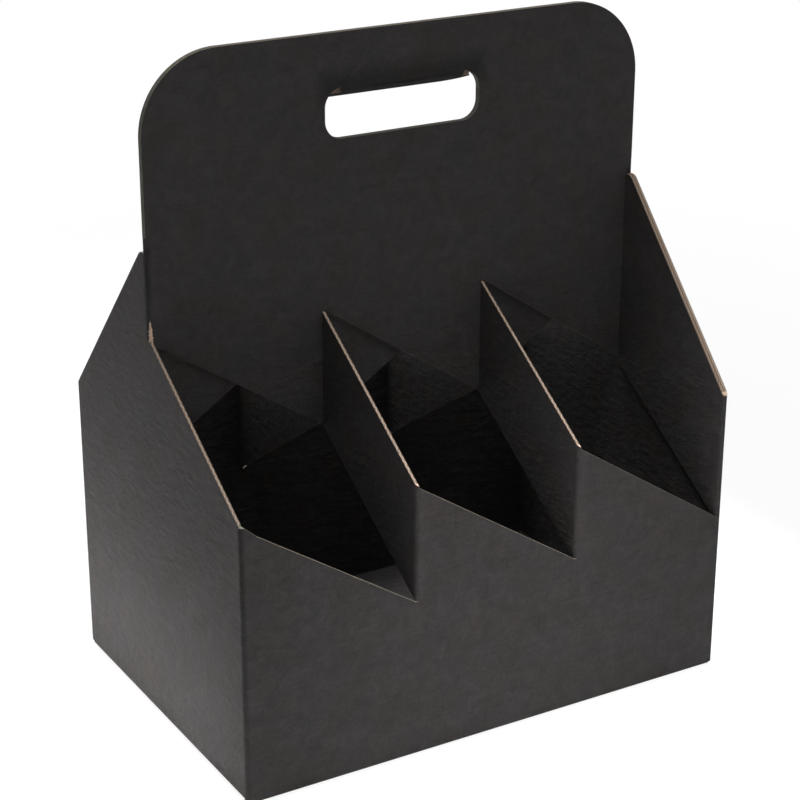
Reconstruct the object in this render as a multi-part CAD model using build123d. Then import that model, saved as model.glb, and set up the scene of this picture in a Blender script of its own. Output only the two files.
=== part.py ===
from build123d import *
import os

# Carrier with six cells, folded and glued from one sheet of thin corrugated board.
# Millimetres. X runs along the length, Y from front to back, Z up.
# The origin is the middle of the base, on the surface that the carrier stands on.

# Board and folds
board = 1.6
fold_inner = 0.8
fold_outer = fold_inner + board

# Plan: three cells along the front, two cells deep
cell = 92.0
columns = 3
length = columns * cell
depth = 2 * cell

# Heights of the cut edges above the surface. The saw-tooth cuts rise one step per cell
notch_z = 84.0
step = 60.0
tooth_z = notch_z + step
root_z = tooth_z + step
shoulder_z = 152.5
peak_z = 255.0
height = 340.0
nose_setback = 0.5

# Handle and hand hole, measured from the top of the handle
handle_corner = 39.0
peak_corner = 5.0
crease_drop = 26.5
hole_length = 86.5
hole_height = 25.0
hole_corner = 9.5
flap_gap = 0.4
knuckle_gap = 0.3
flap_droop = 19.0

# Base flaps and glue tab
minor_reach = 88.0
base_gap = 1.0
tab_reach = 28.0
tab_gap = 1.0
tab_taper = 8.0

# Seam between two glued layers, seen along their cut edges
seam_width = 0.16
seam_depth = 0.8

half_x = length / 2
half_y = depth / 2
pair = 2 * board
fold_x = half_x - fold_outer
fold_y = half_y - fold_outer
crease_z = height - crease_drop
hole_bottom = crease_z - hole_height
crease_half = hole_length / 2 - hole_corner


def slab_xz(outline, front, back):
    """Panel drawn in elevation from the front, from one Y to another."""
    face = make_face(Polyline([(x, front, z) for x, z in outline], close=True))
    return extrude(face, amount=back - front, dir=(0, 1, 0))


def slab_yz(outline, left, right):
    """Panel drawn in elevation from the end, from one X to another."""
    face = make_face(Polyline([(left, y, z) for y, z in outline], close=True))
    return extrude(face, amount=right - left, dir=(1, 0, 0))


def block(x0, x1, y0, y1, z0, z1):
    """Plain block between two corners."""
    return Pos(x0, y0, z0) * Box(x1 - x0, y1 - y0, z1 - z0, align=(Align.MIN, Align.MIN, Align.MIN))


def upright(x, y, radius, z0, z1):
    """Upright cylinder."""
    return Pos(x, y, z0) * Cylinder(radius, z1 - z0, align=(Align.CENTER, Align.CENTER, Align.MIN))


def corner_fold(cx, cy, sx, sy, z0, z1):
    """Quarter bend of the board around an upright line. sx and sy point to the outer corner."""
    bend = upright(cx, cy, fold_outer, z0, z1) - upright(cx, cy, fold_inner, z0, z1)
    x0, x1 = sorted((cx, cx + sx * fold_outer))
    y0, y1 = sorted((cy, cy + sy * fold_outer))
    return bend & block(x0, x1, y0, y1, z0, z1)


def round_upright(x, y, sx, sy, radius, z0, z1):
    """What comes off a square upright corner at x, y to round it. sx and sy point outwards."""
    x0, x1 = sorted((x, x - sx * radius))
    y0, y1 = sorted((y, y - sy * radius))
    return block(x0, x1, y0, y1, z0, z1) - upright(x - sx * radius, y - sy * radius, radius, z0, z1)


def half_turn(shape):
    """The same shape turned by half a turn about the middle of the plan."""
    return Rot(0, 0, 180) * shape


def front_wall(right_end):
    """Front wall with its saw-tooth top, its base fold and its base flap, as far as right_end."""
    outline = [(-half_x, fold_outer)]
    for k in range(columns):
        outline.append((-half_x + k * cell, tooth_z))
        outline.append((-half_x + (k + 1) * cell, notch_z))
    outline.append((half_x, fold_outer))
    wall = slab_xz(outline, -half_y, -half_y + board)
    bend = Rot(0, 90, 0) * (Cylinder(fold_outer, length) - Cylinder(fold_inner, length))
    bend = Pos(0, -fold_y, fold_outer) * bend
    bend = bend & block(-half_x, half_x, -half_y, -fold_y, 0, fold_outer)
    flap = block(-half_x, half_x, -fold_y, -base_gap / 2, 0, board)
    return (wall + bend + flap) & block(-fold_x, right_end, -half_y, 0, 0, height)


def end_wall(front_end):
    """Right end wall. Its front half rises to the peak and its back half falls from the root."""
    outline = [
        (-half_y, board + fold_outer),
        (-half_y, shoulder_z),
        (board, peak_z),
        (board, root_z),
        (half_y, tooth_z),
        (half_y, board + fold_outer),
    ]
    wall = slab_yz(outline, half_x - board, half_x)
    wall = fillet(wall.edges().filter_by(Axis.X).group_by(Axis.Z)[-1], peak_corner)
    wall = wall & block(0, half_x, front_end, fold_y, 0, height)
    run = 2 * fold_y
    bend = Rot(90, 0, 0) * (Cylinder(fold_outer, run) - Cylinder(fold_inner, run))
    bend = Pos(fold_x, 0, board + fold_outer) * bend
    bend = bend & block(fold_x, half_x, -fold_y, fold_y, board, board + fold_outer)
    flap = block(half_x - minor_reach, fold_x, -fold_y, fold_y, board, pair)
    return wall + bend + flap


def doubling_flap():
    """Flap glued inside the front half of the right end wall, turned back at the front corner."""
    near = -half_y + nose_setback
    outline = [(near, notch_z), (near, shoulder_z), (board, peak_z), (0, tooth_z)]
    leaf = slab_yz(outline, half_x - pair, half_x)
    leaf = fillet(leaf.edges().filter_by(Axis.X).group_by(Axis.Z)[-1], peak_corner)
    plan = upright(half_x - board, near + board, board, 0, height)
    plan = plan + block(half_x - pair, half_x, near + board, half_y, 0, height)
    return leaf & plan


def divider(k):
    """Slanting divider from the front wall to the handle, hinged on a fold at each end."""
    x = -half_x + k * cell
    outline = [(-half_y, notch_z), (-half_y, tooth_z), (0, root_z), (0, tooth_z)]
    leaf = slab_yz(outline, x, x + board)
    leaf = leaf - round_upright(x, -half_y, -1, -1, fold_outer, 0, height)
    return leaf


def handle_layer():
    """Front layer of the handle, with a saw-tooth lower edge that rises at each divider."""
    outline = [(-half_x, height), (-half_x, root_z)]
    for k in range(1, columns):
        x = -half_x + k * cell
        outline.append((x - fold_inner, tooth_z))
        outline.append((x + board, tooth_z))
        outline.append((x + board, root_z))
    outline.append((half_x, tooth_z))
    outline.append((half_x, height))
    layer = slab_xz(outline, -board, 0)
    layer = fillet(layer.edges().filter_by(Axis.Y).group_by(Axis.Z)[-1], handle_corner)
    return layer


def front_half(right_end):
    """All panels of the front half. The front wall goes as far as right_end."""
    body = front_wall(right_end) + handle_layer()
    for k in range(1, columns):
        body = body + divider(k)
        x = -half_x + k * cell
        body = body - round_upright(x, -half_y, -1, -1, fold_outer, notch_z, height)
    return body + doubling_flap()


def corner_column(sx, sy, top):
    """Upright fold at an outer corner, under the plane of a cut edge."""
    return corner_fold(sx * fold_x, sy * fold_y, sx, sy, board, top)


def glue_tab():
    """Tab at the end of the back wall, glued inside the left end wall."""
    x = -half_x + board
    low = pair + tab_gap
    high = notch_z - tab_gap
    bend = corner_fold(x + fold_outer, fold_y, -1, 1, low, high)
    outline = [
        (fold_y, low),
        (fold_y, high),
        (half_y - tab_reach, high - tab_taper),
        (half_y - tab_reach, low + tab_taper),
    ]
    return bend + slab_yz(outline, x, x + board)


def hand_hole(grow, low, high):
    """Outline of the hand hole as a block, from one Y to another."""
    middle = (hole_bottom + crease_z) / 2
    tall = crease_z - hole_bottom
    hole = Pos(0, (low + high) / 2, middle) * Box(hole_length + 2 * grow, high - low, tall + 2 * grow)
    return fillet(hole.edges().filter_by(Axis.Y), hole_corner + grow)


def handle_blank(inset, low, high):
    """The handle above the peaks with its two big rounded corners, drawn in by an inset."""
    plate = block(-half_x + inset, half_x - inset, low, high, peak_z, height - inset)
    return fillet(plate.edges().filter_by(Axis.Y).group_by(Axis.Z)[-1], handle_corner - inset)


def handle_seams():
    """Narrow groove between the two handle layers, along the outer edge and round the hand hole."""
    side = seam_width / 2
    edge = handle_blank(0, -side, side) - handle_blank(seam_depth, -board, board)
    return edge + hand_hole(seam_depth, -side, side)


def slope_seam():
    """Narrow groove between the right end wall and its doubling flap, along the slope."""
    rise = (peak_z - shoulder_z) / (board + half_y)
    drop = seam_depth * (1 + rise ** 2) ** 0.5
    near = -fold_y
    far = -board - peak_corner
    low_near = shoulder_z + rise * (near + half_y) - drop
    low_far = shoulder_z + rise * (far + half_y) - drop
    outline = [(near, low_near), (far, low_far), (far, low_far + pair), (near, low_near + pair)]
    middle = half_x - board
    return slab_yz(outline, middle - seam_width / 2, middle + seam_width / 2)


def build_carrier():
    """The folded and glued sheet as one solid."""
    # The back left corner is the seam: the back wall turns into the glue tab and the end wall is raw
    body = front_half(fold_x) + half_turn(front_half(fold_x - board))
    body = body + end_wall(-fold_y)
    body = body + half_turn(end_wall(-half_y + nose_setback))
    # Corners: plain folds front left and back right, a fold up to the notch front right
    body = body + corner_column(-1, -1, tooth_z)
    body = body + corner_column(1, 1, tooth_z)
    body = body + corner_column(1, -1, notch_z)
    body = body + glue_tab()
    # The folds between end walls and handle layers are rounded from root to peak
    body = body - round_upright(half_x, board, 1, 1, pair, root_z, peak_z)
    body = body - round_upright(-half_x, -board, -1, -1, pair, root_z, peak_z)
    # Hand hole and the hollow that the flap's bend turns in
    body = body - hand_hole(0, -pair, pair)
    turn = Rot(0, 90, 0) * Cylinder(pair + knuckle_gap, 2 * (crease_half + knuckle_gap))
    body = body - Pos(0, board, crease_z) * turn
    return body - handle_seams() - slope_seam() - half_turn(slope_seam())


def build_flap():
    """Flap of the hand hole, swung back to droop a little. Its bend turns about the crease behind."""
    leaf = hand_hole(-flap_gap, -pair, 0)
    leaf = leaf + block(-crease_half, crease_half, -pair, 0, crease_z - 2 * flap_gap, crease_z)
    leaf = Pos(0, 0, -crease_z) * leaf
    leaf = Rot(90 - flap_droop, 0, 0) * leaf
    leaf = Pos(0, board, crease_z) * leaf
    knuckle = Rot(0, 90, 0) * Cylinder(pair, 2 * crease_half)
    knuckle = Pos(0, board, crease_z) * knuckle
    turned = Rot(-flap_droop, 0, 0) * block(-half_x, half_x, -2 * pair, 0, -2 * pair, 2 * pair)
    knuckle = knuckle & (Pos(0, board, crease_z) * turned)
    return leaf + knuckle


os.makedirs("parts", exist_ok=True)
for name, shape in (("carrier", build_carrier()), ("hand_hole_flap", build_flap())):
    print(name, len(shape.solids()), round(shape.volume), shape.bounding_box())
    export_step(shape, "parts/" + name + ".step")
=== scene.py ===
import math

import bmesh
import bpy
from mathutils import Matrix, Vector, noise


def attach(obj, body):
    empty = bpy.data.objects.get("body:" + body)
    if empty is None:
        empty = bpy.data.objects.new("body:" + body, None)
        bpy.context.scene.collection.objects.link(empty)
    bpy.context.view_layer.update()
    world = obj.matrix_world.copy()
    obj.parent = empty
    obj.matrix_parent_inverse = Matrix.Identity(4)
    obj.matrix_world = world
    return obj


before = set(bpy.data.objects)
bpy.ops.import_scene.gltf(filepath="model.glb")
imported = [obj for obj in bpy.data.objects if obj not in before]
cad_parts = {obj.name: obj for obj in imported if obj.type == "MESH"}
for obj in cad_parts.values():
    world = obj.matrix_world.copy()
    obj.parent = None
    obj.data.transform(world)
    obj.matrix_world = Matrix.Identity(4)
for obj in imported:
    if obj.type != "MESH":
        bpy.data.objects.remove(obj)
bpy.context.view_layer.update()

MM = 0.001

# Sizes repeated from the part, in millimetres
BOARD = 1.6
PAIR = 2 * BOARD
FOLD = 2.4
CELL = 92.0
HALF_X = 138.0
HALF_Y = 92.0
NOTCH = 84.0
TOOTH = 144.0
ROOT = 204.0
SHOULDER = 152.5
PEAK = 255.0
HEIGHT = 340.0
HANDLE_CORNER = 39.0
PEAK_CORNER = 5.0
NOSE_SETBACK = 0.5
HOLE_HALF = 43.25
HOLE_CORNER = 9.5
CREASE = 313.5
HOLE_BOTTOM = 288.5
FLAP_DROOP = 19.0
FLAP_GAP = 0.4
TAB_REACH = 28.0
TAB_GAP = 1.0
TAB_TAPER = 8.0

# The two slopes of the cut edges, as rise over run
RISE = (TOOTH - NOTCH) / CELL
STEEP = (PEAK - SHOULDER) / (HALF_Y + BOARD)

# Half of the hand hole's straight crease
CREASE_HALF = HOLE_HALF - HOLE_CORNER

# How far the first tooth runs down into the rounded corner beside it
CORNER_RUN = 6.0

# Degrees from the top at which the handle's rim turns from the dull to the dark kraft
RIM_TURN = 40

# Degrees of the corners at the crease that have no cut edge, on the handle and on the flap
HOLE_START = 2
FLAP_START = 14

# Corrugated board seen at a cut edge: paper thicknesses, fluting, and how far an edge stands proud
LINER = 0.24
MEDIUM = 0.27
FLUTE_PITCH = 1.8
WAVE_STEPS = 10
WAVE_CRUSH = 0.12
RELIEF = 0.10
SINK = 0.03
LAYER_GAP = 0.02

# Torn patch at the foot of a handle fold: its size, and its place round the fold in degrees
TORN_HEIGHT = 11.0
TORN_BELOW = 0.6
TORN_ROWS = 34
TORN_COLUMNS = 9
TORN_MIDDLE = 226
TORN_TOP = 3
TORN_FOOT = 17
TORN_RAGGED = 13
TORN_PROUD = 0.12

# Materials of the cut edges, in the order of their slots
BRIGHT = 0
DULL = 1
LINER_TONE = 2
DARK = 3
PAPER_TONE = 4

# Materials of the liner over the hand hole's crease: the paper, and the darker copy that paints shade on
# the lower part of the bend and on the ends
LINER_FRONT = 0
LINER_SHADED = 1

# Sense of a rounded run, in place of an outward direction
CLOCKWISE = 1
ANTICLOCKWISE = -1


# Cut edges. A run is (points, direction across the board, outward direction or sense, tone)

def half_turn(p):
    """The same point or direction turned by half a turn about the middle of the plan."""
    return (-p[0], -p[1], p[2])


def arc(cx, cz, radius, start, end, steps=48):
    """Points on an arc in the plane of the handle, angles in degrees from +X towards +Z."""
    points = []
    for i in range(steps + 1):
        a = math.radians(start + (end - start) * i / steps)
        points.append((cx + radius * math.cos(a), 0.0, cz + radius * math.sin(a)))
    return points


def corner_wedge():
    """Front outline of the sliver that eases the first tooth into the top of the rounded corner."""
    x0 = -HALF_X + FOLD
    x1 = x0 + CORNER_RUN
    top = (x0, -HALF_Y, TOOTH)
    return [top, (x1, -HALF_Y, TOOTH - RISE * (x1 + HALF_X)), (x0, -HALF_Y, TOOTH - RISE * FOLD)]


def slope_runs():
    """Straight cut edges of the front half."""
    up = (0, 0, 1)
    down = (0, 0, -1)
    along_x = (1, 0, 0)
    along_y = (0, 1, 0)
    # Teeth of the front wall
    first = [*corner_wedge()[:2], (-HALF_X + CELL, -HALF_Y, NOTCH)]
    x = -HALF_X + CELL
    second = [(x + BOARD, -HALF_Y, TOOTH - RISE * BOARD), (x + CELL, -HALF_Y, NOTCH)]
    x = -HALF_X + 2 * CELL
    third = [(x + BOARD, -HALF_Y, TOOTH - RISE * BOARD), (x + CELL - FOLD, -HALF_Y, NOTCH + RISE * FOLD)]
    runs = [(tooth, along_y, up, DULL) for tooth in (first, second, third)]
    # Upper and lower edges of the dividers, the lower ones dull as painted shade
    for k in (1, 2):
        x = -HALF_X + k * CELL
        top = [(x, -HALF_Y + BOARD, TOOTH + RISE * BOARD), (x, -BOARD, ROOT - RISE * BOARD)]
        low = [(x, -HALF_Y + BOARD, NOTCH + RISE * BOARD), (x, -BOARD, TOOTH - RISE * BOARD)]
        runs.append((top, along_x, up, BRIGHT))
        runs.append((low, along_x, down, DULL))
    # Lower edge of the handle layer, dull as painted shade, as (from x, from z, to x, to z) in each cell
    for x0, z0, x1, z1 in (
        (-HALF_X + BOARD, ROOT - RISE * BOARD, -HALF_X + CELL - BOARD / 2, TOOTH),
        (-HALF_X + CELL + BOARD, ROOT, -HALF_X + 2 * CELL - BOARD / 2, TOOTH),
        (-HALF_X + 2 * CELL + BOARD, ROOT, HALF_X - PAIR, TOOTH + RISE * PAIR),
    ):
        runs.append(([(x0, -BOARD, z0), (x1, -BOARD, z1)], along_y, down, DULL))
    # Slope of the left end wall, and lower edge of the right doubling flap, the lower edge dull as
    # painted shade
    left = [(-HALF_X, -BOARD, ROOT), (-HALF_X, -HALF_Y + FOLD, TOOTH + RISE * FOLD)]
    runs.append((left, along_x, up, BRIGHT))
    x = HALF_X - PAIR
    near = -HALF_Y + NOSE_SETBACK + BOARD
    low = [(x, near, NOTCH + RISE * BOARD), (x, -BOARD, TOOTH - RISE * BOARD)]
    runs.append((low, along_x, down, DULL))
    return runs


def peak_runs():
    """The doubled slope of the right end wall with its rounded peak, one run per layer."""
    angle = math.atan(STEEP)
    inner = math.radians(90) - angle
    reach = PEAK_CORNER / math.tan(inner / 2)
    centre_y = BOARD - PEAK_CORNER
    centre_z = PEAK - reach
    start_y = -HALF_Y + NOSE_SETBACK + BOARD
    points = [(start_y, SHOULDER + STEEP * (start_y + HALF_Y))]
    first = math.degrees(angle) + 90
    last = math.degrees(math.acos((-BOARD - centre_y) / PEAK_CORNER))
    steps = 12
    for i in range(steps + 1):
        a = math.radians(first + (last - first) * i / steps)
        points.append((centre_y + PEAK_CORNER * math.cos(a), centre_z + PEAK_CORNER * math.sin(a)))
    runs = []
    for x in (HALF_X - BOARD, HALF_X - PAIR):
        runs.append(([(x, y, z) for y, z in points], (1, 0, 0), (0, 0, 1), BRIGHT))
    return runs


def handle_runs():
    """The handle's outer edge above the peaks and the hand hole, one run per layer."""
    x = HALF_X - HANDLE_CORNER
    z = HEIGHT - HANDLE_CORNER
    left = [(-HALF_X, 0.0, PEAK)] + arc(-x, z, HANDLE_CORNER, 180, 90 + RIM_TURN, 30)
    top = arc(-x, z, HANDLE_CORNER, 90 + RIM_TURN, 90, 24)
    top += arc(x, z, HANDLE_CORNER, 90, 90 - RIM_TURN, 24)
    right = arc(x, z, HANDLE_CORNER, 90 - RIM_TURN, 0, 30) + [(HALF_X, 0.0, PEAK)]
    # The hand hole's rim, dark as painted shade
    x = CREASE_HALF
    hole = arc(-x, CREASE - HOLE_CORNER, HOLE_CORNER, 90 + HOLE_START, 180)
    hole += arc(-x, HOLE_BOTTOM + HOLE_CORNER, HOLE_CORNER, 180, 270)
    hole += arc(x, HOLE_BOTTOM + HOLE_CORNER, HOLE_CORNER, 270, 360)
    hole += arc(x, CREASE - HOLE_CORNER, HOLE_CORNER, 0, 90 - HOLE_START)
    runs = []
    for y in (-BOARD, 0.0):
        for points, tone in ((left, DARK), (top, DULL), (right, DARK), (hole, DARK)):
            runs.append(([(p[0], y, p[2]) for p in points], (0, 1, 0), CLOCKWISE, tone))
    return runs


def seam_runs():
    """The raw back edge of the left end wall and the glue tab inside it."""
    edge = HALF_Y - NOSE_SETBACK
    raw = [(-HALF_X, edge, PAIR + BOARD), (-HALF_X, edge, NOTCH - BOARD)]
    inner = -HALF_X + BOARD
    free = HALF_Y - TAB_REACH
    high = NOTCH - TAB_GAP
    top = [(inner, HALF_Y - FOLD, high), (inner, free, high - TAB_TAPER)]
    side = [(inner, free, high - TAB_TAPER), (inner, free, PAIR + TAB_GAP + TAB_TAPER)]
    return [
        (raw, (1, 0, 0), (0, 1, 0), BRIGHT),
        (top, (1, 0, 0), (0, 0, 1), BRIGHT),
        (side, (1, 0, 0), (0, -1, 0), BRIGHT),
    ]


def flap_runs():
    """The free edge of the hand hole's flap, drawn level behind the handle."""
    x = CREASE_HALF
    radius = HOLE_CORNER - FLAP_GAP
    far = CREASE - HOLE_BOTTOM - HOLE_CORNER
    outline = arc(-x, HOLE_CORNER, radius, 270 - FLAP_START, 180) + arc(-x, far, radius, 180, 90)
    outline += arc(x, far, radius, 90, 0) + arc(x, HOLE_CORNER, radius, 0, FLAP_START - 90)
    runs = []
    for z in (CREASE - PAIR, CREASE - BOARD):
        runs.append(([(p[0], BOARD + p[2], z) for p in outline], (0, 0, 1), ANTICLOCKWISE, BRIGHT))
    return runs


def resample(points, phase_of):
    """Points close enough along a polyline to draw the fluting, where it crosses the cut."""
    out = [points[0]]
    for p, q in zip(points, points[1:]):
        a = Vector(p)
        b = Vector(q)
        waves = abs(phase_of(b) - phase_of(a))
        count = max(1, math.ceil(waves * WAVE_STEPS))
        for i in range(1, count + 1):
            out.append(tuple(a.lerp(b, i / count)))
    return out


def tangents(points):
    """Direction of a polyline at each of its points."""
    found = []
    for i in range(len(points)):
        a = Vector(points[max(i - 1, 0)])
        b = Vector(points[min(i + 1, len(points) - 1)])
        found.append((b - a).normalized())
    return found


def ribbon(verts, faces, rails, outs):
    """Closed strip of rectangular section between two rails, standing a little proud of the cut."""
    base = len(verts)
    left, right = rails
    for a, b, out in zip(left, right, outs):
        verts += [a - out * SINK, a + out * RELIEF, b + out * RELIEF, b - out * SINK]
    end = len(verts) - 4
    for k in range(base, end, 4):
        for s in range(4):
            faces.append((k + s, k + (s + 1) % 4, k + 4 + (s + 1) % 4, k + 4 + s))
    faces.append((base + 3, base + 2, base + 1, base))
    faces.append((end, end + 1, end + 2, end + 3))


def outwards(line, across, hint):
    """Direction out of the cut at each point of a run."""
    outs = []
    for t in tangents(line):
        out = t.cross(across).normalized()
        if hint in (CLOCKWISE, ANTICLOCKWISE):
            out = out * hint
        elif out.dot(Vector(hint)) < 0:
            out = -out
        outs.append(out)
    return outs


def corrugated_edge(verts, faces, tones, run, phase_of, seed):
    """Two liners and the wave of fluting paper between them along one cut edge."""
    points, across, hint, tone = run
    across = Vector(across)
    outs = outwards(points, across, hint)
    for low, high in ((LAYER_GAP, LINER), (BOARD - LINER, BOARD - LAYER_GAP)):
        rails = [[Vector(p) + across * offset for p in points] for offset in (low, high)]
        ribbon(verts, faces, rails, outs)
    tones += [DARK if tone == DARK else LINER_TONE] * (len(faces) - len(tones))
    line = resample(points, phase_of)
    outs = outwards(line, across, hint)
    swing = BOARD / 2 - LINER - MEDIUM / 2
    middle = []
    for i, p in enumerate(line):
        crush = 1 + WAVE_CRUSH * noise.noise(Vector((seed, i * 0.05, 0)))
        offset = BOARD / 2 + swing * min(crush, 1) * math.sin(2 * math.pi * phase_of(p))
        middle.append(Vector(p) + across * offset)
    sides = [t.cross(out).normalized() * (MEDIUM / 2) for t, out in zip(tangents(middle), outs)]
    rails = ([m - s for m, s in zip(middle, sides)], [m + s for m, s in zip(middle, sides)])
    ribbon(verts, faces, rails, outs)
    tones += [tone] * (len(faces) - len(tones))


def plan_arc(cx, cy, radius, angles):
    """Points on an arc in plan, for a range of angles in degrees from +X towards +Y."""
    turns = [math.radians(degrees) for degrees in angles]
    return [(cx + radius * math.cos(a), cy + radius * math.sin(a)) for a in turns]


def fold_tips():
    """Cut ends of the board at the folds that start a slope: (plan, height at a point, tone)."""
    fold_x = -HALF_X + FOLD
    fold_y = -HALF_Y + FOLD

    def round_corner(x, y):
        turn = math.degrees(math.atan2(y + HALF_Y - FOLD, x + HALF_X - FOLD)) % 360
        return TOOTH + RISE * FOLD * (1 - min(max((turn - 180) / 45, 0), 1)) ** 1.5

    ring = plan_arc(fold_x, fold_y, FOLD, range(180, 271, 10))
    ring += plan_arc(fold_x, fold_y, FOLD - BOARD, range(270, 179, -10))
    tips = [(ring, round_corner, DULL)]
    for k in (1, 2):
        x = -HALF_X + k * CELL
        corner = [(x + BOARD, -HALF_Y + BOARD), *plan_arc(x + FOLD, fold_y, FOLD, range(200, 251, 10))]
        tips.append((corner, lambda x, y: TOOTH + RISE * (y + HALF_Y), BRIGHT))
    nose = plan_arc(HALF_X - BOARD, -HALF_Y + NOSE_SETBACK + BOARD, BOARD, range(180, 361, 12))
    tips.append((nose, lambda x, y: SHOULDER + STEEP * (y + HALF_Y), BRIGHT))
    return tips


def crease_liner(verts, faces, tones):
    """The handle's outer liner, which runs unbroken over the hollow above the hand hole's crease."""
    proud = 0.10
    thick = 0.09
    foot = 0.03
    half = CREASE_HALF + 0.35
    # Section in (y, z): down the handle's face, round the bend, and back up behind
    section = [(-BOARD - off, CREASE + up) for off, up in ((0.005, 7.0), (0.05, 5.0), (proud, 2.5))]
    for degrees in range(180, 226, 5):
        a = math.radians(degrees)
        reach = PAIR + proud - (proud - foot) * (degrees - 180) / 45
        section.append((BOARD + reach * math.cos(a), CREASE + reach * math.sin(a)))
    back = [(y + thick, z) for y, z in reversed(section[:4])]
    loop = section + [(section[-1][0] + foot, section[-1][1] + foot)] + back
    count = len(loop)
    base = len(verts)
    for x in (-half, half):
        verts += [Vector((x, y, z)) for y, z in loop]
    faces.append(tuple(base + i for i in range(count)))
    faces.append(tuple(base + count + i for i in reversed(range(count))))
    tones += [LINER_SHADED, LINER_SHADED]
    for i in range(count):
        j = (i + 1) % count
        faces.append((base + j, base + i, base + count + i, base + count + j))
        # The front faces keep the paper; the lower part of the bend takes the darker copy, as painted
        # shade
        tones.append(LINER_FRONT if i < 5 else LINER_SHADED)


def tip_cap(verts, faces, tones, tip, turn):
    """Thin cap on the cut end of a fold."""
    outline, height, tone = tip
    base = len(verts)
    count = len(outline)
    for lift in (-SINK, RELIEF / 2):
        for x, y in outline:
            p = (x, y, height(x, y) + lift)
            verts.append(Vector(half_turn(p) if turn else p))
    faces.append(tuple(base + i for i in reversed(range(count))))
    faces.append(tuple(base + count + i for i in range(count)))
    for i in range(count):
        j = (i + 1) % count
        faces.append((base + i, base + j, base + count + j, base + count + i))
    tones += [tone, tone] + [PAPER_TONE] * count


def add_wedge(verts, faces, tones, turn):
    """The sliver of corner_wedge, as thick as the board."""
    base = len(verts)
    for deep in (0.0, BOARD):
        for x, y, z in corner_wedge():
            p = (x, y + deep, z)
            verts.append(Vector(half_turn(p) if turn else p))
    faces.append((base, base + 1, base + 2))
    faces.append((base + 5, base + 4, base + 3))
    for i in range(3):
        j = (i + 1) % 3
        faces.append((base + i, base + 3 + i, base + 3 + j, base + j))
    tones += [PAPER_TONE] * 5


def torn_fold(verts, faces, tones, turn, seed):
    """Patch where the liner has torn at the foot of a handle fold, thin at the top and ragged."""
    base = len(verts)
    row = TORN_COLUMNS + 1
    layer = (TORN_ROWS + 1) * row
    least = 0.02

    def on_fold(angle, radius, z):
        x = max(-HALF_X + PAIR + radius * math.cos(angle), -HALF_X - TORN_PROUD)
        p = (x, BOARD + radius * math.sin(angle), z)
        return Vector(half_turn(p) if turn else p)

    sunk = []
    for j in range(TORN_ROWS + 1):
        share = j / TORN_ROWS
        z = ROOT - TORN_BELOW + TORN_HEIGHT * share
        wide = TORN_FOOT * (1 - share) ** 0.7 + TORN_TOP
        ragged = Vector((seed * 7.3, share * 14.0, 0))
        left = TORN_MIDDLE - wide + TORN_RAGGED * noise.noise(ragged)
        right = TORN_MIDDLE + wide + TORN_RAGGED * noise.noise(ragged + Vector((0, 0, 5)))
        for i in range(row):
            a = math.radians(left + (right - left) * i / TORN_COLUMNS)
            inside = min(i, TORN_COLUMNS - i) / TORN_COLUMNS * min(1, 4 * share + 0.3, 5 * (1 - share))
            fibres = 0.7 + 1.1 * noise.noise(Vector((i * 0.9, j * 0.55, seed * 3.1)))
            verts.append(on_fold(a, PAIR + max(least + 0.30 * inside * fibres, least), z))
            sunk.append(on_fold(a, PAIR - 0.15, z))
    verts += sunk
    for j in range(TORN_ROWS):
        for i in range(TORN_COLUMNS):
            k = base + j * row + i
            patch = (k, k + 1, k + row + 1, k + row)
            faces.append(patch)
            faces.append(tuple(layer + v for v in reversed(patch)))
            tones += [BRIGHT, BRIGHT]
    rim = list(range(row))
    rim += [j * row + TORN_COLUMNS for j in range(1, TORN_ROWS + 1)]
    rim += [TORN_ROWS * row + i for i in range(TORN_COLUMNS - 1, -1, -1)]
    rim += [j * row for j in range(TORN_ROWS - 1, 0, -1)]
    for a, b in zip(rim, rim[1:] + rim[:1]):
        faces.append((base + b, base + a, base + layer + a, base + layer + b))
        tones.append(BRIGHT)


def mesh_piece(name, verts, faces, tones, body, materials):
    """Piece of the scene that rides on a body, from points in millimetres and a material per face."""
    mesh = bpy.data.meshes.new(name)
    mesh.from_pydata([tuple(v * MM) for v in verts], [], faces)
    for polygon, tone in zip(mesh.polygons, tones):
        polygon.material_index = tone
    mesh.update()
    shell = bmesh.new()
    shell.from_mesh(mesh)
    bmesh.ops.recalc_face_normals(shell, faces=shell.faces)
    shell.to_mesh(mesh)
    shell.free()
    piece = bpy.data.objects.new(name, mesh)
    bpy.context.scene.collection.objects.link(piece)
    for material in materials:
        mesh.materials.append(material)
    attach(piece, body)


# Materials

PAPER_DARK = (0.0300, 0.0281, 0.0280)
PAPER = (0.0380, 0.0358, 0.0354)
PAPER_PALE = (0.0480, 0.0453, 0.0450)
# Darker copy of the paper: painted shade on the flap's under side and on the crease liner's lower bend
SHADED_DARK = (0.0218, 0.0205, 0.0210)
SHADED_PALE = (0.0330, 0.0312, 0.0318)

# How much painted shade darkens the paper at the folds and at the hand hole's crease, and how much the
# paper brightens where it is rubbed
CORNER_SHADE = 0.18
HANDLE_FOLD_SHADE = 0.51
CREASE_SHADE = 0.50
RUBBED_SHADE = 0.13

# Papers at the cuts: name, light tone, dark tone. The dull and dark copies of the kraft are painted
# shade on the lower edges and along the hand hole
CUT_PAPERS = (
    ("kraft_edge", (0.60, 0.435, 0.325), (0.46, 0.335, 0.25)),
    ("dull_kraft_edge", (0.24, 0.228, 0.175), (0.155, 0.147, 0.113)),
    ("dark_kraft_edge", (0.125, 0.118, 0.094), (0.07, 0.067, 0.054)),
    ("liner_edge", (0.15, 0.122, 0.093), (0.08, 0.066, 0.052)),
    ("flute_hollow_painted_shade", (0.23, 0.172, 0.126), (0.15, 0.113, 0.083)),
)


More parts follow.
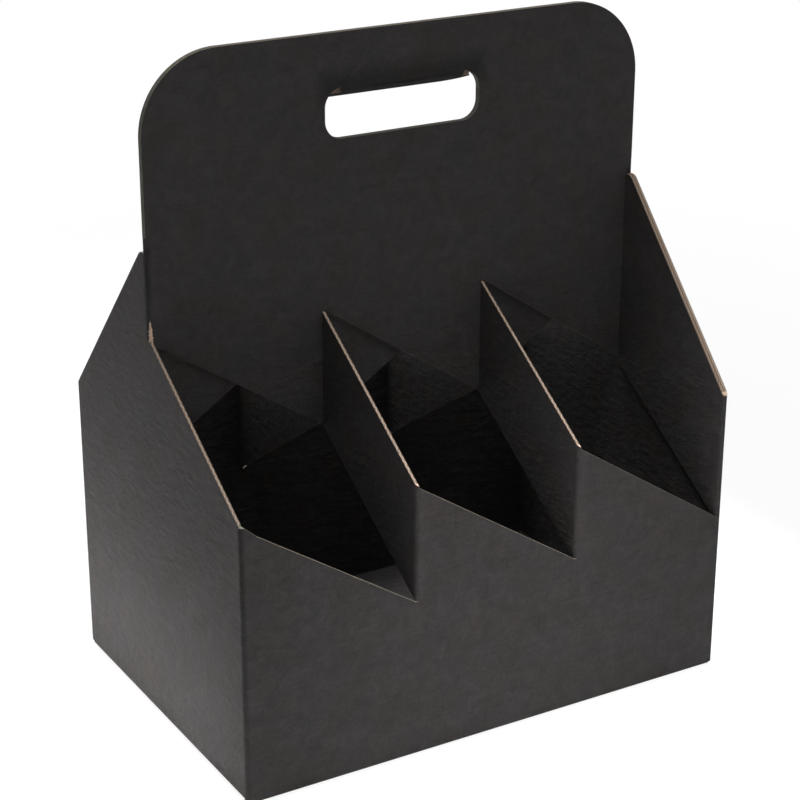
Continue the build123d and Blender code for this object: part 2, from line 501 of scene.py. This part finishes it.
def blank_material(name):
    """Material with an output alone, and the output's surface socket."""
    material = bpy.data.materials.new(name)
    material.use_nodes = True
    nodes = material.node_tree.nodes
    nodes.clear()
    return material, nodes.new("ShaderNodeOutputMaterial").inputs["Surface"]


def new_material(name):
    """Material with one Principled shader."""
    material, surface = blank_material(name)
    shader = material.node_tree.nodes.new("ShaderNodeBsdfPrincipled")
    material.node_tree.links.new(shader.outputs["BSDF"], surface)
    return material, shader


class Graph:
    """Short ways to add and join nodes in one material."""

    def __init__(self, material):
        self.nodes = material.node_tree.nodes
        self.links = material.node_tree.links
        self.position = self.nodes.new("ShaderNodeTexCoord").outputs["Object"]

    def put(self, socket, value):
        if isinstance(value, bpy.types.NodeSocket):
            self.links.new(value, socket)
        else:
            socket.default_value = value

    def math(self, operation, a, b=0.0, clamp=False):
        node = self.nodes.new("ShaderNodeMath")
        node.operation = operation
        node.use_clamp = clamp
        self.put(node.inputs[0], a)
        self.put(node.inputs[1], b)
        return node.outputs[0]

    def distance(self, u, v):
        squares = [self.math("MULTIPLY", side, side) for side in (u, v)]
        return self.math("SQRT", self.math("ADD", *squares))

    def stretch(self, scale):
        node = self.nodes.new("ShaderNodeMapping")
        node.inputs["Scale"].default_value = scale
        self.links.new(self.position, node.inputs["Vector"])
        return node.outputs[0]

    def noise(self, per_metre, detail=3.0, rough=0.55, vector=None, distortion=0.0):
        node = self.nodes.new("ShaderNodeTexNoise")
        node.inputs["Scale"].default_value = per_metre
        node.inputs["Detail"].default_value = detail
        node.inputs["Roughness"].default_value = rough
        node.inputs["Distortion"].default_value = distortion
        self.links.new(vector or self.position, node.inputs["Vector"])
        return node.outputs["Fac"]

    def ramp(self, value, stops):
        node = self.nodes.new("ShaderNodeValToRGB")
        elements = node.color_ramp.elements
        while len(elements) < len(stops):
            elements.new(0.5)
        for element, (place, colour) in zip(elements, stops):
            element.position = place
            element.color = (*colour, 1.0)
        self.put(node.inputs["Fac"], value)
        return node.outputs["Color"]

    def mix(self, share, a, b, blend="MIX"):
        node = self.nodes.new("ShaderNodeMix")
        node.data_type = "RGBA"
        node.blend_type = blend
        self.put(node.inputs["Factor"], share)
        for socket, value in ((node.inputs["A"], a), (node.inputs["B"], b)):
            if isinstance(value, tuple):
                value = (*value, 1.0)
            self.put(socket, value)
        return node.outputs["Result"]

    def remap(self, value, low, high, to_low, to_high):
        node = self.nodes.new("ShaderNodeMapRange")
        ends = {"From Min": low, "From Max": high, "To Min": to_low, "To Max": to_high}
        for name, number in ends.items():
            node.inputs[name].default_value = number
        self.put(node.inputs["Value"], value)
        return node.outputs["Result"]

    def bump(self, height, strength, distance, normal=None):
        node = self.nodes.new("ShaderNodeBump")
        node.inputs["Strength"].default_value = strength
        node.inputs["Distance"].default_value = distance
        self.put(node.inputs["Height"], height)
        if normal is not None:
            self.links.new(normal, node.inputs["Normal"])
        return node.outputs["Normal"]

    def grey(self, value):
        node = self.nodes.new("ShaderNodeCombineColor")
        for name in ("Red", "Green", "Blue"):
            self.put(node.inputs[name], value)
        return node.outputs[0]

    def axes(self):
        node = self.nodes.new("ShaderNodeSeparateXYZ")
        self.links.new(self.position, node.inputs[0])
        return node.outputs


def painted_fold_shade_and_rubbing(g, axes):
    """Painted shade along the folds and at the hand hole's crease, and a paler rubbed line at the folds
    of the dividers.
    """
    side = g.math("ABSOLUTE", axes["X"])
    deep = g.math("ABSOLUTE", axes["Y"])
    at_45 = math.cos(math.radians(45))

    def near(u, v, inner, outer, depth):
        """1 - depth on a line at u = v = 0, and 1 beyond the outer distance, in millimetres."""
        return g.remap(g.distance(u, v), inner * MM, outer * MM, 1 - depth, 1.0)

    # Painted shade down the four upright corners
    corner = near(
        g.math("SUBTRACT", side, (HALF_X - FOLD + FOLD * at_45) * MM),
        g.math("SUBTRACT", deep, (HALF_Y - FOLD + FOLD * at_45) * MM),
        0.5, 2.1, CORNER_SHADE,
    )
    # Painted shade down the folds between the end walls and the handle, from the root up to just under
    # the peak
    turned = g.math("MULTIPLY", axes["Y"], g.math("SIGN", axes["X"]))
    handle_fold = near(
        g.math("SUBTRACT", side, (HALF_X - PAIR + PAIR * at_45) * MM),
        g.math("ADD", turned, (PAIR * at_45 - BOARD) * MM),
        1.0, 2.9, HANDLE_FOLD_SHADE,
    )
    below = g.remap(axes["Z"], (ROOT - 1.0) * MM, (ROOT + 1.0) * MM, 1.0, 0.0)
    above = g.remap(axes["Z"], (PEAK - 9.0) * MM, (PEAK - 4.0) * MM, 0.0, 1.0)
    handle_fold = g.math("MAXIMUM", handle_fold, g.math("MAXIMUM", below, above))
    # Painted shade on the handle at the hand hole's crease
    over = g.math("ABSOLUTE", g.math("SUBTRACT", axes["Z"], (CREASE + 1.0) * MM))
    crease = g.remap(over, 1.5 * MM, 11.0 * MM, 1 - CREASE_SHADE, 1.0)
    beyond = g.remap(side, (HOLE_HALF - 10) * MM, (HOLE_HALF + 6) * MM, 0.0, 1.0)
    in_front = g.remap(axes["Y"], 1.5 * MM, 2.5 * MM, 0.0, 1.0)
    crease = g.math("MAXIMUM", crease, g.math("MAXIMUM", beyond, in_front))
    shade = g.math("MULTIPLY", g.math("MULTIPLY", corner, handle_fold), crease)
    along = g.math("MULTIPLY", axes["X"], g.math("SIGN", g.math("MULTIPLY", axes["Y"], -1.0)))
    first = g.math("ABSOLUTE", g.math("SUBTRACT", along, (CELL / 2 + 3.0) * MM))
    second = g.math("ABSOLUTE", g.math("ADD", along, (CELL / 2 - 3.0) * MM))
    rubbed = g.remap(g.math("MINIMUM", first, second), 0.5 * MM, 4.5 * MM, RUBBED_SHADE, 0.0)
    outer = g.remap(deep, (HALF_Y - 1.0) * MM, (HALF_Y - 0.2) * MM, 0.0, 1.0)
    rubbed = g.math("MULTIPLY", rubbed, outer)
    upper = g.remap(axes["Z"], (NOTCH - 22) * MM, (NOTCH + 8) * MM, 0.0, 1.0)
    rubbed = g.math("MULTIPLY", rubbed, upper)
    return g.math("MULTIPLY", shade, g.math("ADD", rubbed, 1.0))


def black_paper():
    """Matt black liner: cloudy fibres, fine flecks, faint streaks and the fluting's ripple."""
    material, shader = new_material("black_liner")
    g = Graph(material)
    axes = g.axes()
    clouds = g.noise(120.0, 4.0, 0.62, distortion=0.8)
    tone = g.ramp(clouds, [(0.28, PAPER_DARK), (0.50, PAPER), (0.72, PAPER_PALE)])
    hue = g.noise(45.0, 3.0)
    tints = [(0.35, (1.0, 0.955, 0.90)), (0.55, (1.0, 0.985, 0.985)), (0.72, (0.985, 0.975, 1.03))]
    tone = g.mix(1.0, tone, g.ramp(hue, tints), "MULTIPLY")
    streaks = g.noise(520.0, 2.0, 0.6, g.stretch((0.07, 0.07, 1.0)))
    faint = [(0.32, (0.95, 0.95, 0.95)), (0.70, (1.05, 1.05, 1.05))]
    tone = g.mix(1.0, tone, g.ramp(streaks, faint), "MULTIPLY")
    flecks = g.noise(1300.0, 3.0, 0.75)
    marked = [(0.36, (0.88, 0.88, 0.88)), (0.66, (1.12, 1.12, 1.12))]
    tone = g.mix(1.0, tone, g.ramp(flecks, marked), "MULTIPLY")
    # Painted shade at the folds and the crease, with the paler rubbed lines
    tone = g.mix(1.0, tone, g.grey(painted_fold_shade_and_rubbing(g, axes)), "MULTIPLY")
    g.links.new(tone, shader.inputs["Base Color"])
    g.links.new(g.remap(clouds, 0.3, 0.7, 0.72, 0.84), shader.inputs["Roughness"])
    shader.inputs["Specular IOR Level"].default_value = 0.12
    ripple = g.math("SINE", g.math("MULTIPLY", axes["Z"], 2 * math.pi / (FLUTE_PITCH * MM)))
    fibre = g.noise(2600.0, 3.0, 0.7)
    pulp = g.noise(260.0, 4.0, 0.62, g.stretch((0.5, 0.5, 1.0)))
    normal = g.bump(ripple, 0.16, 0.00004)
    normal = g.bump(pulp, 0.8, 0.00125, normal)
    normal = g.bump(fibre, 0.55, 0.00007, normal)
    g.links.new(normal, shader.inputs["Normal"])
    return material


def shaded_paper():
    """The flap's under side: a duller and darker copy of the black paper, with the same fibres, as
    painted shade.
    """
    material, shader = new_material("black_under_side_painted_shade")
    g = Graph(material)
    clouds = g.noise(120.0, 4.0, 0.62, distortion=0.8)
    tone = g.ramp(clouds, [(0.28, SHADED_DARK), (0.72, SHADED_PALE)])
    g.links.new(tone, shader.inputs["Base Color"])
    shader.inputs["Roughness"].default_value = 0.85
    shader.inputs["Specular IOR Level"].default_value = 0.0
    g.links.new(g.bump(g.noise(2600.0, 3.0, 0.7), 0.5, 0.00007), shader.inputs["Normal"])
    return material


def kraft_paper(name, light, dark):
    """Raw brown paper pulp where the board is cut."""
    material, shader = new_material(name)
    g = Graph(material)
    pulp = g.noise(900.0, 4.0, 0.7)
    g.links.new(g.ramp(pulp, [(0.32, dark), (0.66, light)]), shader.inputs["Base Color"])
    shader.inputs["Roughness"].default_value = 0.9
    g.links.new(g.bump(g.noise(3200.0, 3.0, 0.7), 0.5, 0.00006), shader.inputs["Normal"])
    return material


# Floor: its colour, how white it shows beside the carrier, and the metres over which that rises to 1
FLOOR_GREY = 0.84
FLOOR_WHITE = 0.90
FLOOR_NEAR = 0.3
FLOOR_FAR = 0.9


def background_rays(nodes, links):
    """1 for the rays that see the white background: from the camera, in gloss and through glass."""
    path = nodes.new("ShaderNodeLightPath")
    found = path.outputs["Is Camera Ray"]
    for kind in ("Is Glossy Ray", "Is Transmission Ray"):
        either = nodes.new("ShaderNodeMath")
        either.operation = "MAXIMUM"
        links.new(found, either.inputs[0])
        links.new(path.outputs[kind], either.inputs[1])
        found = either.outputs[0]
    return found


def floor_material():
    """Pale floor that shows white to the camera and in gloss, and keeps a soft shadow by the carrier."""
    material, surface = blank_material("pale_floor")
    g = Graph(material)
    diffuse = g.nodes.new("ShaderNodeBsdfDiffuse")
    diffuse.inputs["Color"].default_value = (FLOOR_GREY, FLOOR_GREY, FLOOR_GREY, 1.0)
    glow = g.nodes.new("ShaderNodeEmission")
    glow.inputs["Color"].default_value = (1.0, 1.0, 1.0, 1.0)
    glow.inputs["Strength"].default_value = 1.0
    axes = g.axes()
    white = g.remap(g.distance(axes["X"], axes["Y"]), FLOOR_NEAR, FLOOR_FAR, FLOOR_WHITE, 1.0)
    share = g.math("MULTIPLY", background_rays(g.nodes, g.links), white)
    under = []
    for axis, half in (("X", HALF_X), ("Y", HALF_Y)):
        side = g.math("ABSOLUTE", axes[axis])
        under.append(g.math("LESS_THAN", side, (half - 2 * FOLD) * MM))
    covered = g.math("MULTIPLY", *under)
    mix = g.nodes.new("ShaderNodeMixShader")
    g.links.new(g.math("SUBTRACT", share, covered, clamp=True), mix.inputs["Fac"])
    g.links.new(diffuse.outputs[0], mix.inputs[1])
    g.links.new(glow.outputs[0], mix.inputs[2])
    g.links.new(mix.outputs[0], surface)
    return material


# Which faces of a CAD node are raw cuts and which are paper, as the slots of its papers. Raw cuts take
# the hollow paper, painted shade in the fluting's hollows. On the carrier, the third slot is the dark
# kraft, a deeper painted shade in the hollows of the handle's rim and hand hole. On the flap, the third
# slot is the darker paper, painted shade on its under side.
PAPER_SLOT = 0
CUT = 1
DULL_CUT = 2
SHADED = 2

# Point on the axis that the flap turns about
FLAP_AXIS = Vector((0, BOARD, CREASE))


def carrier_face_paper(c, n):
    """The slot of a face of the carrier. c is its middle in millimetres and n its normal."""
    level = abs(n.z)
    # Base flaps
    if c.z < PAIR + BOARD - 0.1:
        inner = abs(c.x) < HALF_X - FOLD - 0.1 and abs(c.y) < HALF_Y - FOLD - 0.1
        return CUT if inner and level < 0.5 else PAPER_SLOT
    # The handle's rim and hand hole, whose raw cuts take the dark kraft as deeper painted shade in the
    # hollows
    if abs(c.y) < BOARD - 0.02 and c.z > PEAK - 8.5 and abs(n.y) < 0.5:
        return PAPER_SLOT if abs(c.x) > HALF_X - 4 and c.z < PEAK - 8.0 else DULL_CUT
    # Slopes, teeth and lower edges
    if level > 0.2:
        return CUT
    # The hidden seam and the side of its glue tab
    left_end = c.x < -HALF_X + BOARD and c.z < NOTCH
    raw_seam = left_end and n.y > 0.9 and abs(c.y - HALF_Y + NOSE_SETBACK) < 0.1
    tab_side = n.y < -0.9 and c.x < -HALF_X + PAIR + 0.1 and abs(c.y - HALF_Y + TAB_REACH) < 0.2
    return CUT if raw_seam or tab_side else PAPER_SLOT


def flap_face_paper(c, n):
    """The slot of a face of the flap: upper liner, raw cut, or under side in painted shade."""
    level = Matrix.Rotation(math.radians(FLAP_DROOP), 3, "X")
    c = level @ (c - FLAP_AXIS) + FLAP_AXIS
    n = level @ n
    leaf = c.y > BOARD + 0.01
    if abs(n.x) > 0.9:
        return CUT
    if n.z < -0.9 or n.z < 0.0 and not leaf:
        return SHADED
    return CUT if leaf and n.z < 0.9 else PAPER_SLOT


def dress(node, paper_of, papers):
    """Gives each face of a CAD node one of the papers."""
    mesh = node.data
    mesh.materials.clear()
    for paper in papers:
        mesh.materials.append(paper)
    for polygon in mesh.polygons:
        polygon.material_index = paper_of(polygon.center / MM, polygon.normal)


# Stage

# Camera at the photograph's viewing angle: place in metres, angles in degrees, lens in millimetres
CAMERA_PLACE = (-0.520898, -0.878803, 0.558659)
CAMERA_AZIMUTH = -30.628
CAMERA_ELEVATION = 21.969
CAMERA_ROLL = 0.163
CAMERA_LENS = 97.239
CAMERA_SENSOR = 36.0

# Lamps: name, place, aim, size, watts and, for those that light patches of floor, spread in degrees
WORLD_LIGHT = 0.03
LIGHTS = (
    ("top", (0.0, 0.0, 1.6), (0, 0, 0.1), (1.2, 1.2), 21.5),
    ("floor_front", (0.0, -0.42, 0.5), (0.0, -0.42, 0.0), (0.2, 0.6), 1.78, 60),
    ("floor_back", (0.0, 0.42, 0.5), (0.0, 0.42, 0.0), (0.2, 0.6), 1.2, 60),
    ("floor_left", (-0.20, 0.16, 0.30), (-0.20, 0.16, 0.0), (0.04, 0.3), 0.76, 30),
    ("floor_left_front", (-0.20, -0.04, 0.30), (-0.20, -0.04, 0.0), (0.04, 0.1), 0.255, 30),
    ("floor_left_far", (-0.30, 0.34, 0.35), (-0.30, 0.34, 0.0), (0.1, 0.25), 0.7, 45),
    ("floor_right", (0.20, 0.04, 0.30), (0.20, 0.04, 0.0), (0.04, 0.3), 0.45, 30),
)


def place_camera():
    """The camera of the main picture."""
    azimuth = math.radians(CAMERA_AZIMUTH)
    elevation = math.radians(CAMERA_ELEVATION)
    roll = math.radians(CAMERA_ROLL)
    flat = math.cos(elevation)
    back = Vector((math.sin(azimuth) * flat, -math.cos(azimuth) * flat, math.sin(elevation)))
    right = (-back).cross(Vector((0, 0, 1))).normalized()
    up = right.cross(-back)
    rolled = right * math.cos(roll) + up * math.sin(roll)
    up = up * math.cos(roll) - right * math.sin(roll)
    camera = bpy.data.objects.new("camera", bpy.data.cameras.new("camera"))
    camera.data.sensor_width = CAMERA_SENSOR
    camera.data.lens = CAMERA_LENS
    camera.matrix_world = Matrix((
        (rolled.x, up.x, back.x, CAMERA_PLACE[0]),
        (rolled.y, up.y, back.y, CAMERA_PLACE[1]),
        (rolled.z, up.z, back.z, CAMERA_PLACE[2]),
        (0, 0, 0, 1),
    ))
    bpy.context.scene.collection.objects.link(camera)
    bpy.context.scene.camera = camera


def area_light(name, place, aim, size, power, spread=180):
    """Rectangular lamp at a place, turned towards its aim."""
    data = bpy.data.lights.new(name, "AREA")
    data.shape = "RECTANGLE"
    data.size, data.size_y = size
    data.energy = power
    data.spread = math.radians(spread)
    lamp = bpy.data.objects.new(name, data)
    lamp.location = place
    lamp.rotation_mode = "QUATERNION"
    lamp.rotation_quaternion = (Vector(aim) - Vector(place)).to_track_quat("-Z", "Y")
    bpy.context.scene.collection.objects.link(lamp)


def build_stage():
    """World, floor and lamps."""
    world = bpy.data.worlds.new("studio")
    bpy.context.scene.world = world
    world.use_nodes = True
    nodes = world.node_tree.nodes
    links = world.node_tree.links
    background = nodes["Background"]
    background.inputs["Color"].default_value = (1.0, 1.0, 1.0, 1.0)
    strength = nodes.new("ShaderNodeMapRange")
    strength.inputs["To Min"].default_value = WORLD_LIGHT
    strength.inputs["To Max"].default_value = 1.0
    links.new(background_rays(nodes, links), strength.inputs["Value"])
    links.new(strength.outputs[0], background.inputs["Strength"])
    mesh = bpy.data.meshes.new("floor")
    reach = 6.0
    corners = [(-reach, -reach, 0), (reach, -reach, 0), (reach, reach, 0), (-reach, reach, 0)]
    mesh.from_pydata(corners, [], [(0, 1, 2, 3)])
    floor = bpy.data.objects.new("floor", mesh)
    floor.location.z = -0.0003
    mesh.materials.append(floor_material())
    bpy.context.scene.collection.objects.link(floor)
    for light in LIGHTS:
        area_light(*light)


def main():
    """Stage, papers of the CAD nodes and the three pieces of fine geometry."""
    place_camera()
    build_stage()
    paper = black_paper()
    kraft, dull, dark, liner, painted_hollow_shade = (kraft_paper(*tones) for tones in CUT_PAPERS)
    edge_papers = (kraft, dull, liner, dark, paper)
    shaded = shaded_paper()
    dress(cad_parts["carrier"], carrier_face_paper, (paper, painted_hollow_shade, dark))
    dress(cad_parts["hand_hole_flap"], flap_face_paper, (paper, painted_hollow_shade, shaded))

    def by_height(p):
        return p[2] / FLUTE_PITCH

    def by_reach(p):
        return p[1] / FLUTE_PITCH

    runs = slope_runs() + peak_runs()
    for points, across, hint, tone in list(runs):
        turned = [half_turn(p) for p in points]
        runs.append((turned, half_turn(across), half_turn(hint), tone))
    runs += handle_runs() + seam_runs()
    verts, faces, tones = [], [], []
    for seed, run in enumerate(runs):
        corrugated_edge(verts, faces, tones, run, by_height, seed)
    for turn, seed in ((False, 1), (True, 4)):
        torn_fold(verts, faces, tones, turn, seed)
        add_wedge(verts, faces, tones, turn)
        for tip in fold_tips():
            tip_cap(verts, faces, tones, tip, turn)
    mesh_piece("carrier_cut_edges", verts, faces, tones, "carrier", edge_papers)
    verts, faces, tones = [], [], []
    for seed, run in enumerate(flap_runs()):
        corrugated_edge(verts, faces, tones, run, by_reach, seed)
    droop = Matrix.Rotation(math.radians(-FLAP_DROOP), 3, "X")
    verts = [droop @ (v - FLAP_AXIS) + FLAP_AXIS for v in verts]
    mesh_piece("flap_cut_edges", verts, faces, tones, "hand_hole_flap", edge_papers)
    verts, faces, tones = [], [], []
    crease_liner(verts, faces, tones)
    mesh_piece("crease_liner", verts, faces, tones, "carrier", (paper, shaded))


main()
bpy.context.scene.view_settings.view_transform = "Standard"
bpy.context.view_layer.update()
